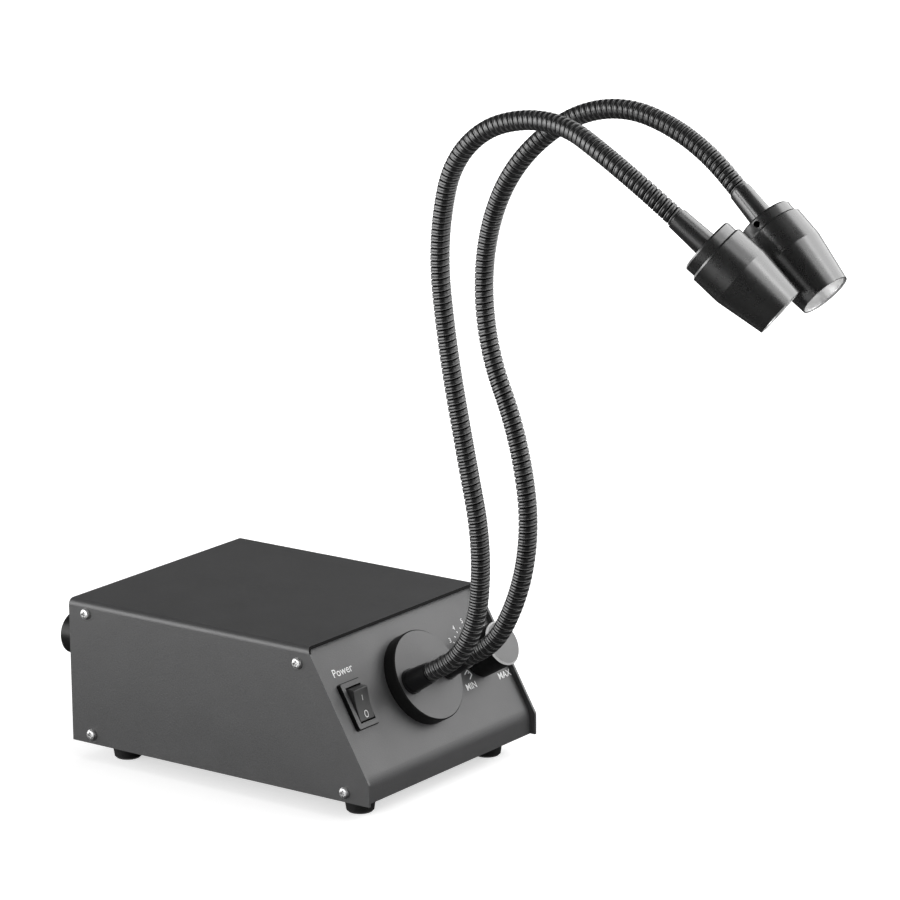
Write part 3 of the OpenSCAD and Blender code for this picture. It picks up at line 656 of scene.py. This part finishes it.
# The mark beside MIN: a short arc with three strokes, as points on the panel
LOW_ARC = [(34.9, 31.5), (36.0, 30.2), (36.7, 28.8)]
LOW_STROKES = [
    ((32.2, 30.2), (34.9, 31.5)),
    ((34.6, 30.0), (35.9, 30.3)),
    ((34.2, 27.1), (36.7, 28.8)),
]
LOW_WIDTH = 0.55


def lay(piece, place, body):
    """Puts a piece's mesh in its place and makes it ride on a body."""
    piece.data.transform(place)
    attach(piece, body)


def text_mesh(name, words, height):
    """Flat lettering of a given capital height, about the origin."""
    curve = bpy.data.curves.new(name + "_outline", "FONT")
    curve.body = words
    curve.align_x = "CENTER"
    curve.align_y = "CENTER"
    curve.size = height * MM / CAPITAL_TO_SIZE
    curve.extrude = INK_T * MM
    curve.offset = INK_SPREAD * MM
    curve.resolution_u = LETTER_STEPS
    outline = bpy.data.objects.new(name + "_outline", curve)
    bpy.context.scene.collection.objects.link(outline)
    depsgraph = bpy.context.evaluated_depsgraph_get()
    mesh = bpy.data.meshes.new_from_object(outline.evaluated_get(depsgraph))
    bpy.data.objects.remove(outline)
    mesh.name = name
    return mesh


def text_piece(name, words, height, place, body, material):
    mesh = text_mesh(name, words, height)
    mesh.materials.clear()
    mesh.materials.append(material)
    made = bpy.data.objects.new(name, mesh)
    bpy.context.scene.collection.objects.link(made)
    lay(made, place, body)


def bar_piece(name, length, width, place, body, material):
    """A printed stroke with slightly rounded ends."""
    x = length / 2
    y = width / 2
    cut = y * BAR_CORNER
    right = [(x - cut, -y), (x, cut - y), (x, y - cut), (x - cut, y)]
    outline = [(-x, cut - y), (cut - x, -y)] + right + [(cut - x, y), (-x, y - cut)]
    count = len(outline)
    points = [Vector((px, py, pz)) * MM for pz in (-INK_T, INK_T) for px, py in outline]
    faces = [tuple(range(count))[::-1], tuple(range(count, 2 * count))]
    for k in range(count):
        after = (k + 1) % count
        faces.append((k, after, count + after, count + k))
    lay(new_object(name, points, faces, material, smooth=False), place, body)


def ring_piece(name, outer, width, squeeze, place, body, material):
    """A printed ring, taller than wide."""
    points = []
    for z in (-INK_T, INK_T):
        for radius in (outer, outer - width):
            for k in range(RING_STEPS):
                a = 2 * math.pi * k / RING_STEPS
                x = radius * squeeze * math.cos(a)
                points.append(Vector((x, radius * math.sin(a), z)) * MM)
    low_out, low_in, top_out, top_in = [i * RING_STEPS for i in range(4)]
    faces = []
    for k in range(RING_STEPS):
        n = (k + 1) % RING_STEPS
        faces.append((top_out + k, top_out + n, top_in + n, top_in + k))
        faces.append((low_in + k, low_in + n, low_out + n, low_out + k))
        faces.append((low_out + k, low_out + n, top_out + n, top_out + k))
        faces.append((top_in + k, top_in + n, low_in + n, low_in + k))
    lay(new_object(name, points, faces, material, smooth=False), place, body)


def make_words(ink):
    text_piece("word_power", "Power", WORD_H, on_panel(*POWER_AT), "base", ink)
    text_piece("word_min", "MIN", LIMIT_H, on_panel(*MIN_AT), "base", ink)
    text_piece("word_max", "MAX", LIMIT_H, on_panel(*MAX_AT), "base", ink)


def on_dial(steps, radius, turned):
    """A place on the dial, some steps from its start. A turned piece points away from the knob."""
    a = math.radians(DIAL_START + steps * DIAL_STEP)
    x = KNOB_X + radius * math.cos(a)
    s = ROW_S + radius * math.sin(a)
    return on_panel(x, s, a if turned else 0.0)


def make_dial(ink):
    for i in range(1, DIAL_NUMBERS + 1):
        radius = EDGE_NUMBER_R if i > LAST_WIDE_NUMBER else NUMBER_R
        name = "dial_number_{}".format(i)
        text_piece(name, str(i), NUMBER_H, on_dial(i, radius, False), "base", ink)
    for i in range(1, 2 * DIAL_NUMBERS + 2):
        name = "dial_tick_{}".format(i)
        bar_piece(name, TICK_LEN, TICK_W, on_dial(i / 2, TICK_R, True), "base", ink)


def make_low_mark(ink):
    strokes = list(zip(LOW_ARC[:-1], LOW_ARC[1:])) + LOW_STROKES
    for i, (start, end) in enumerate(strokes):
        run = end[0] - start[0]
        rise = end[1] - start[1]
        middle = ((start[0] + end[0]) / 2, (start[1] + end[1]) / 2)
        place = on_panel(*middle, math.atan2(rise, run))
        length = math.hypot(run, rise) + LOW_WIDTH / 2
        bar_piece("low_mark_{}".format(i), length, LOW_WIDTH, place, "base", ink)


# ---------------------------------------------------------------- rocker switch

ROCKER_W = 10.4
ROCKER_R = 8.6
ROCKER_VALLEY = 3.4
ROCKER_RISE = 0.5
ROCKER_SLACK = 0.05
DISH_POWER = 1.7
DISH_STEPS = 18
ROCKER_FLANK = (25, 12, 0, -8)
ROCKER_HEEL = [(1.15, -4.4), (-1.15, -4.4)]
DISH_Z = ROCKER_VALLEY + PIVOT_BELOW - ROCKER_SLACK
TIP_Z = DISH_Z + ROCKER_RISE
TIP_Y = math.sqrt(ROCKER_R**2 - TIP_Z**2) - ROCKER_SLACK

MARK_X = 0.3
MARK_LIFT = 0.02
MARK_RUN = 1.0
ON_Y = 3.1
OFF_Y = -4.6
STROKE_LEN = 2.6
STROKE_W = 0.45
RING_R = 1.75
RING_W = 0.35
RING_SQUEEZE = 0.74

# A thin dark loop about the bezel stands for the shadowed gap round it: painted shade
SHADE_LOOP_W = 0.5
SHADE_LOOP_T = 0.3
CORNER_STEPS = 4


def dish_z(y):
    """Height of the dished top of the rocker above its pivot."""
    return DISH_Z + ROCKER_RISE * (abs(y) / TIP_Y) ** DISH_POWER


def rocker_profile():
    """Side outline of the rocker about its pivot: a dished top between two raised ends."""
    top = []
    for i in range(DISH_STEPS + 1):
        y = TIP_Y * (-1 + 2 * i / DISH_STEPS)
        top.append((y, dish_z(y)))
    radius = ROCKER_R - ROCKER_SLACK
    turns = [math.radians(a) for a in ROCKER_FLANK]
    right = [(radius * math.cos(a), radius * math.sin(a)) for a in turns]
    left = [(-y, z) for y, z in right[::-1]]
    return left + top + right + ROCKER_HEEL


def make_rocker():
    """The rocker with a smooth dish and softened edges."""
    outline = rocker_profile()
    count = len(outline)
    points = []
    for x in (-ROCKER_W / 2, ROCKER_W / 2):
        for y, z in outline:
            points.append(Vector((x, y, z)) * MM)
    faces = [tuple(range(count)), tuple(range(count, 2 * count))[::-1]]
    for k in range(count):
        after = (k + 1) % count
        faces.append((k, count + k, count + after, after))
    piece = new_object("rocker_key", points, faces, ROCKER_PLASTIC)
    soften(piece, width=0.25, segments=3)
    turn = Matrix.Rotation(TILT + math.radians(ROCKER_TILT), 4, "X")
    place = Matrix.Translation(panel_point(-SWITCH_X, ROW_S, -PIVOT_BELOW)) @ turn
    lay(piece, place, "rocker")
    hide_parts("rocker")
    make_rocker_marks(place)


def on_dish(rocker_place, y):
    """The matrix that lays a flat mesh on the rocker's dish."""
    slope = math.atan2(dish_z(y + MARK_RUN / 2) - dish_z(y - MARK_RUN / 2), MARK_RUN)
    local = Matrix.Translation(Vector((MARK_X, y, dish_z(y) + MARK_LIFT)) * MM)
    return rocker_place @ local @ Matrix.Rotation(slope, 4, "X")


def make_rocker_marks(rocker_place):
    """The stroke and ring on the two halves of the rocker."""
    upright = on_dish(rocker_place, ON_Y) @ Matrix.Rotation(math.pi / 2, 4, "Z")
    bar_piece("mark_on", STROKE_LEN, STROKE_W, upright, "rocker", GREY_INK)
    place = on_dish(rocker_place, OFF_Y)
    ring_piece("mark_off", RING_R, RING_W, RING_SQUEEZE, place, "rocker", WHITE_INK)


def box_loop(grown, z):
    """Points of the switch's rounded outline, grown all round."""
    corner = SWITCH_CORNER + grown
    loop = []
    for turn, (sx, sy) in enumerate(((1, 1), (-1, 1), (-1, -1), (1, -1))):
        for step in range(CORNER_STEPS + 1):
            a = math.radians(90 * turn + 90 / CORNER_STEPS * step)
            x = sx * (SWITCH_W / 2 - SWITCH_CORNER) + corner * math.cos(a)
            y = sy * (SWITCH_H / 2 - SWITCH_CORNER) + corner * math.sin(a)
            loop.append(Vector((x, y, z)) * MM)
    return loop


def make_gasket():
    """A thin dark loop about the switch's bezel: painted shade along the gap round it."""
    corners = [(SHADE_LOOP_W, 0.0), (SHADE_LOOP_W, SHADE_LOOP_T), (0.0, SHADE_LOOP_T), (0.0, 0.0)]
    loops = [box_loop(grown, z) for grown, z in corners]
    points = [point for loop in loops for point in loop]
    count = len(loops[0])
    faces = []
    for i in range(len(loops)):
        near = i * count
        far = (i + 1) % len(loops) * count
        for k in range(count):
            after = (k + 1) % count
            faces.append((near + k, near + after, far + after, far + k))
    piece = new_object("switch_shade_loop", points, faces, KNOB_PLASTIC, smooth=False)
    lay(piece, on_panel(-SWITCH_X, ROW_S), "base")


# ---------------------------------------------------------------- carried-over nodes

# The bright part of a shell begins this far beyond the end of the neck
MOUTH_AT = 50.0

# How squarely a surface looks along the head, or out of the panel, up to 1
MOUTH_RIM_LEAST = 0.8
KNOB_RIM_LEAST = 0.55
KNOB_RIM_MOST = 0.85
KNOB_SHADED_WALL_MOST = 0.3


def head_metal(name, side):
    """Black anodised turned metal. The mouth's rim and inner lip are bright."""
    point, _, _, tangent = neck_frame(side, NECK_LEN)
    graph = turned_surface(name, grey(0.012), 0.28, tangent, step=4e-4, depth=4e-7)
    graph.set(IOR=1.8, Specular_IOR_Level=1.0)
    from_end = graph.minus(graph.place, point * MM)
    along = graph.dot(from_end, tangent)
    radial = graph.minus(from_end, graph.scaled(tangent, along))
    inside = graph.math("LESS_THAN", graph.dot(radial, graph.facing), 0.0)
    rim = graph.faces(tangent, MOUTH_RIM_LEAST)
    near_mouth = graph.math("GREATER_THAN", along, MOUTH_AT * MM)
    bright = graph.math("MULTIPLY", graph.math("MAXIMUM", inside, rim), near_mouth)
    graph.choose(bright, Base_Color=grey(0.7), Metallic=1.0)
    return graph.material


def knob_face():
    """Satin face and bright cut rim; the wall is painted black as painted shade."""
    graph = turned_surface("knob_face", grey(0.125), 0.42, PANEL_UP, step=2e-4, depth=2e-6)
    graph.set(Specular_IOR_Level=0.8)
    outward = graph.dot(graph.facing, PANEL_OUT)
    above = graph.math("GREATER_THAN", outward, KNOB_RIM_LEAST)
    below = graph.math("LESS_THAN", outward, KNOB_RIM_MOST)
    graph.choose(graph.math("MULTIPLY", above, below), Base_Color=grey(0.75), Metallic=0.3)
    # Painted shade: the cap's wall, which looks away from the panel, is painted near black with
    # little gloss
    shaded_wall = graph.math("LESS_THAN", outward, KNOB_SHADED_WALL_MOST)
    graph.choose(shaded_wall, Base_Color=grey(0.006), Specular_IOR_Level=0.15)
    return graph.material


BLACK_PLASTIC = black_moulding("black_plastic", shade=0.012, rough=0.34, shine=0.3)
KNOB_PLASTIC = black_moulding("knob_plastic", shade=0.006, rough=0.4, shine=0.15)
ROCKER_PLASTIC = black_moulding("rocker_plastic", shade=0.018, rough=0.4, shine=0.7)
WHITE_INK = plain("white_ink", grey(0.93), 0.55, cloud=900.0, vary=0.05, grain=6000.0, depth=4e-6)
GREY_INK = plain("grey_ink", grey(0.42), 0.5, cloud=900.0, vary=0.06, grain=6000.0, depth=4e-6)


def dress(material, *nodes):
    """Gives CAD nodes their material."""
    for node in nodes:
        slots = NODES[node].data.materials
        slots.clear()
        slots.append(material)


def dress_housing():
    dress(paint("textured_black_paint").material, "chassis")
    dress(edged_paint("cover_paint"), "cover")
    dress(walled_paint("boss_paint"), "neck_boss")
    dress(walled_paint("switch_moulding"), "switch_frame")
    soften(NODES["neck_boss"], width=0.3, segments=2)
    soften(NODES["switch_frame"], width=0.3, segments=2)
    rubber = plain("black_rubber", grey(0.01), 0.72, cloud=70.0, vary=0.2, grain=900.0, depth=3e-5)
    dress(rubber, "front_left_foot", "front_right_foot", "rear_left_foot", "rear_right_foot")
    dress(KNOB_PLASTIC, "knob")
    dress(knob_face(), "knob_cap")
    dress(BLACK_PLASTIC, "rocker", "inlet", "fuse_holder", "fuse_nut", "fuse_cap")


def dress_heads():
    ferrule = ferrule_paint()
    coat = mirror_coat()
    lens = lens_material()
    white = (0.8, 0.8, 0.78)
    board = plain("white_board", white, 0.5, cloud=200.0, vary=0.04, grain=3000.0, depth=1e-5)
    for side in SIDES:
        anodised = head_metal("anodised_" + side, side)
        dress(anodised, side + "_head_ferrule", side + "_end_cap", side + "_shell")
        dress(coat, side + "_reflector")
        dress(board, side + "_led_board")
        dress(lens, side + "_led")
        dress(BLACK_PLASTIC, side + "_grub_screw")
        dress(ferrule, side + "_base_ferrule")


def dress_metal_parts():
    zinc = metal("bright_zinc", grey(0.85), 0.46, cloud=300.0, vary=0.12, grain=5000.0, depth=6e-6)
    dress(zinc, "cover_screws", "foot_screws", "inner_screws", "knob_screw", "board_spacers")
    dress(zinc, "neck_locknuts", "pot_nut", "dimmer_pot", "dimmer_shaft")
    brass = metal("plain_brass", (0.72, 0.56, 0.27), 0.32, cloud=200.0, grain=3000.0, depth=6e-6)
    dress(brass, "switch_terminals", "inlet_pins", "earth_stud")
    dull = grey(0.7)
    sink = metal("plain_aluminium", dull, 0.35, cloud=200.0, vary=0.08, grain=3000.0, depth=8e-6)
    dress(sink, "heat_sink")


def dress_inner_parts():
    green = (0.02, 0.14, 0.05)
    board = plain("green_board", green, 0.35, cloud=120.0, vary=0.15, grain=2500.0, depth=1e-5)
    dress(board, "driver_board", "terminal_block")
    dark = (0.06, 0.06, 0.062)
    ferrite = plain("sintered_ferrite", dark, 0.7, cloud=300.0, vary=0.2, grain=3000.0, depth=3e-5)
    dress(ferrite, "transformer_core")
    red = (0.65, 0.3, 0.12)
    finish = dict(cloud=300.0, vary=0.15, grain=2000.0, depth=4e-5)
    dress(plain("winding_copper", red, 0.3, metallic=0.9, **finish), "transformer_winding")
    blue = (0.03, 0.05, 0.16)
    sleeve = plain("shrink_sleeve", blue, 0.3, cloud=150.0, grain=2000.0, depth=1e-5)
    dress(sleeve, "storage_capacitors")
    dress(tube_glass(), "fuse")


# ---------------------------------------------------------------- floor and room, in metres

FLOOR_HALF = 6.0
FLOOR_IN_METAL = 0.6

# The floor's own glow to the eye, near the object and far from it
GLOW_NEAR = 0.6
GLOW_FAR = 1.0
GLOW_FROM = 0.4
GLOW_TO = 1.2

# The light that the room gives to dull surfaces, and the band of it that metal mirrors, as the
# height of a direction above the horizon
ROOM_LEVEL = 0.3
BAND_TOP = 0.4
BAND_FULL = 0.15


def make_floor():
    """A pale floor that reads as a white sheet and keeps the object's soft shadow."""
    graph = Graph("pale_floor")
    path = graph.node("ShaderNodeLightPath").outputs
    glow = graph.span(graph.length(graph.place), GLOW_FROM, GLOW_TO, GLOW_NEAR, GLOW_FAR)
    shown = graph.math("MULTIPLY", path["Is Camera Ray"], glow)
    mirrored = graph.math("MULTIPLY", path["Is Glossy Ray"], FLOOR_IN_METAL)
    graph.set(
        Base_Color=graph.ramp(graph.noise(scale=3.0), grey(0.76), grey(0.8)),
        Roughness=0.9,
        Emission_Color=grey(1.0),
        Emission_Strength=graph.math("MAXIMUM", shown, mirrored),
    )
    size = FLOOR_HALF
    corners = [(-size, -size, 0), (size, -size, 0), (size, size, 0), (-size, size, 0)]
    floor = new_object("floor", corners, [(0, 1, 2, 3)], graph.material, smooth=False)


def make_world():
    """White to the eye and near the horizon; dim above, where a studio has no walls."""
    world = bpy.data.worlds.new("room")
    bpy.context.scene.world = world
    world.use_nodes = True
    room = Tree(world.node_tree)
    path = room.node("ShaderNodeLightPath").outputs
    direction = room.node("ShaderNodeTexCoord").outputs["Generated"]
    low = room.span(room.height(direction), BAND_TOP, BAND_FULL)
    clear = room.math("MAXIMUM", path["Is Camera Ray"], path["Is Transmission Ray"])
    mirrored = room.math("MULTIPLY", low, path["Is Glossy Ray"])
    shown = room.math("MAXIMUM", clear, mirrored)
    lit = room.math("MULTIPLY", path["Is Diffuse Ray"], ROOM_LEVEL)
    background = world.node_tree.nodes["Background"].inputs
    room.feed(background["Color"], grey(1.0))
    room.feed(background["Strength"], room.math("MAXIMUM", shown, lit))


# ---------------------------------------------------------------- lamps and dark cards

AIM = Vector((0.0, -0.1, 0.15))
CARD_STEPS = 12
FLOOR_CARD_STEPS = 36
CARD_LOWEST = 0.002
FLOOR_CARD_Z = 0.001


def toward(azimuth, rise, distance):
    """A place seen from the object: azimuth from its front, positive to its right, and rise."""
    a = math.radians(azimuth)
    e = math.radians(rise)
    level = math.cos(e)
    return Vector((math.sin(a) * level, -math.cos(a) * level, math.sin(e))) * distance


def softbox(name, place, width, height, power):
    light = bpy.data.lights.new(name, "AREA")
    light.shape = "RECTANGLE"
    light.size = width
    light.size_y = height
    light.energy = power
    made = bpy.data.objects.new(name, light)
    made.location = place
    made.rotation_euler = (AIM - place).to_track_quat("-Z", "Y").to_euler()
    bpy.context.scene.collection.objects.link(made)


def dark_card(name, points, faces):
    """A dark card, of which only the reflection is seen."""
    graph = Graph(name + "_cloth")
    weave = graph.ramp(graph.noise(scale=40.0), grey(0.012), grey(0.018))
    graph.set(Base_Color=weave, Roughness=1.0)
    card = new_object(name, points, faces, graph.material)
    card.visible_camera = False
    card.visible_diffuse = False
    card.visible_shadow = False
    card.visible_transmission = False


def standing_card(name, azimuths, rises, distance):
    """A dark card that bends about the object, between two azimuths and two rises."""
    points = []
    for i in range(CARD_STEPS + 1):
        azimuth = azimuths[0] + (azimuths[1] - azimuths[0]) * i / CARD_STEPS
        for k in range(CARD_STEPS + 1):
            rise = rises[0] + (rises[1] - rises[0]) * k / CARD_STEPS
            point = toward(azimuth, rise, distance)
            point.z = max(point.z, CARD_LOWEST)
            points.append(point)
    faces = []
    for i in range(CARD_STEPS):
        for k in range(CARD_STEPS):
            at = i * (CARD_STEPS + 1) + k
            faces.append((at, at + 1, at + CARD_STEPS + 2, at + CARD_STEPS + 1))
    dark_card(name, points, faces)


def lying_card(name, azimuths, near, far):
    """A dark card that lies on the floor, between two distances from the origin."""
    points = []
    for i in range(FLOOR_CARD_STEPS + 1):
        azimuth = azimuths[0] + (azimuths[1] - azimuths[0]) * i / FLOOR_CARD_STEPS
        for reach in (near, far):
            points.append(toward(azimuth, 0, reach) + Vector((0, 0, FLOOR_CARD_Z)))
    faces = [(2 * i, 2 * i + 1, 2 * i + 3, 2 * i + 2) for i in range(FLOOR_CARD_STEPS)]
    dark_card(name, points, faces)


def make_lamps():
    key_at = toward(azimuth=58, rise=38, distance=2.3)
    front_at = toward(azimuth=0, rise=42, distance=2.3)
    side_at = toward(azimuth=-128, rise=18, distance=2.2)
    top_at = Vector((0.0, 0.0, 2.4))
    softbox("key", key_at, width=3.5, height=1.8, power=52.0)
    softbox("front", front_at, width=1.5, height=1.0, power=8.0)
    softbox("side", side_at, width=4.1, height=1.4, power=50.0)
    softbox("top", top_at, width=1.2, height=1.2, power=2.0)


def make_cards():
    standing_card("camera_flag", azimuths=(-88, -22), rises=(0, 60), distance=2.0)
    lying_card("camera_floor_flag", azimuths=(-88, -22), near=0.5, far=2.0)
    lying_card("near_floor_flag", azimuths=(-180, 180), near=0.0, far=0.55)
    standing_card("back_flag", azimuths=(97, 170), rises=(3, 45), distance=2.6)


# ---------------------------------------------------------------- camera

CAMERA_AT = (-1.59612, -1.2681, 0.67193)
CAMERA_YAW = 53.5232
CAMERA_PITCH = 14.3879
CAMERA_ROLL = -0.6497
CAMERA_LENS = 179.28
SENSOR_WIDTH = 36.0
CLIP_START = 0.01


def make_camera():
    """The photograph's camera. Yaw is from +Y to +X, and pitch is down."""
    yaw = math.radians(CAMERA_YAW)
    pitch = math.radians(CAMERA_PITCH)
    roll = math.radians(CAMERA_ROLL)
    level = math.cos(pitch)
    forward = Vector((math.sin(yaw) * level, math.cos(yaw) * level, -math.sin(pitch)))
    level_right = Vector((math.cos(yaw), -math.sin(yaw), 0))
    level_up = level_right.cross(forward)
    right = level_right * math.cos(roll) + level_up * math.sin(roll)
    up = level_up * math.cos(roll) - level_right * math.sin(roll)
    camera = bpy.data.objects.new("camera", bpy.data.cameras.new("camera"))
    camera.data.lens = CAMERA_LENS
    camera.data.sensor_width = SENSOR_WIDTH
    camera.data.clip_start = CLIP_START
    turn = Matrix((right, up, -forward)).transposed().to_4x4()
    camera.matrix_world = Matrix.Translation(CAMERA_AT) @ turn
    bpy.context.scene.collection.objects.link(camera)
    bpy.context.scene.camera = camera


# ---------------------------------------------------------------- the scene

dress_housing()
dress_heads()
dress_metal_parts()
dress_inner_parts()
make_necks()
make_words(WHITE_INK)
make_dial(WHITE_INK)
make_low_mark(WHITE_INK)
make_rocker()
make_gasket()
make_floor()
make_world()
make_lamps()
make_cards()
make_camera()

bpy.context.scene.view_settings.view_transform = "Standard"
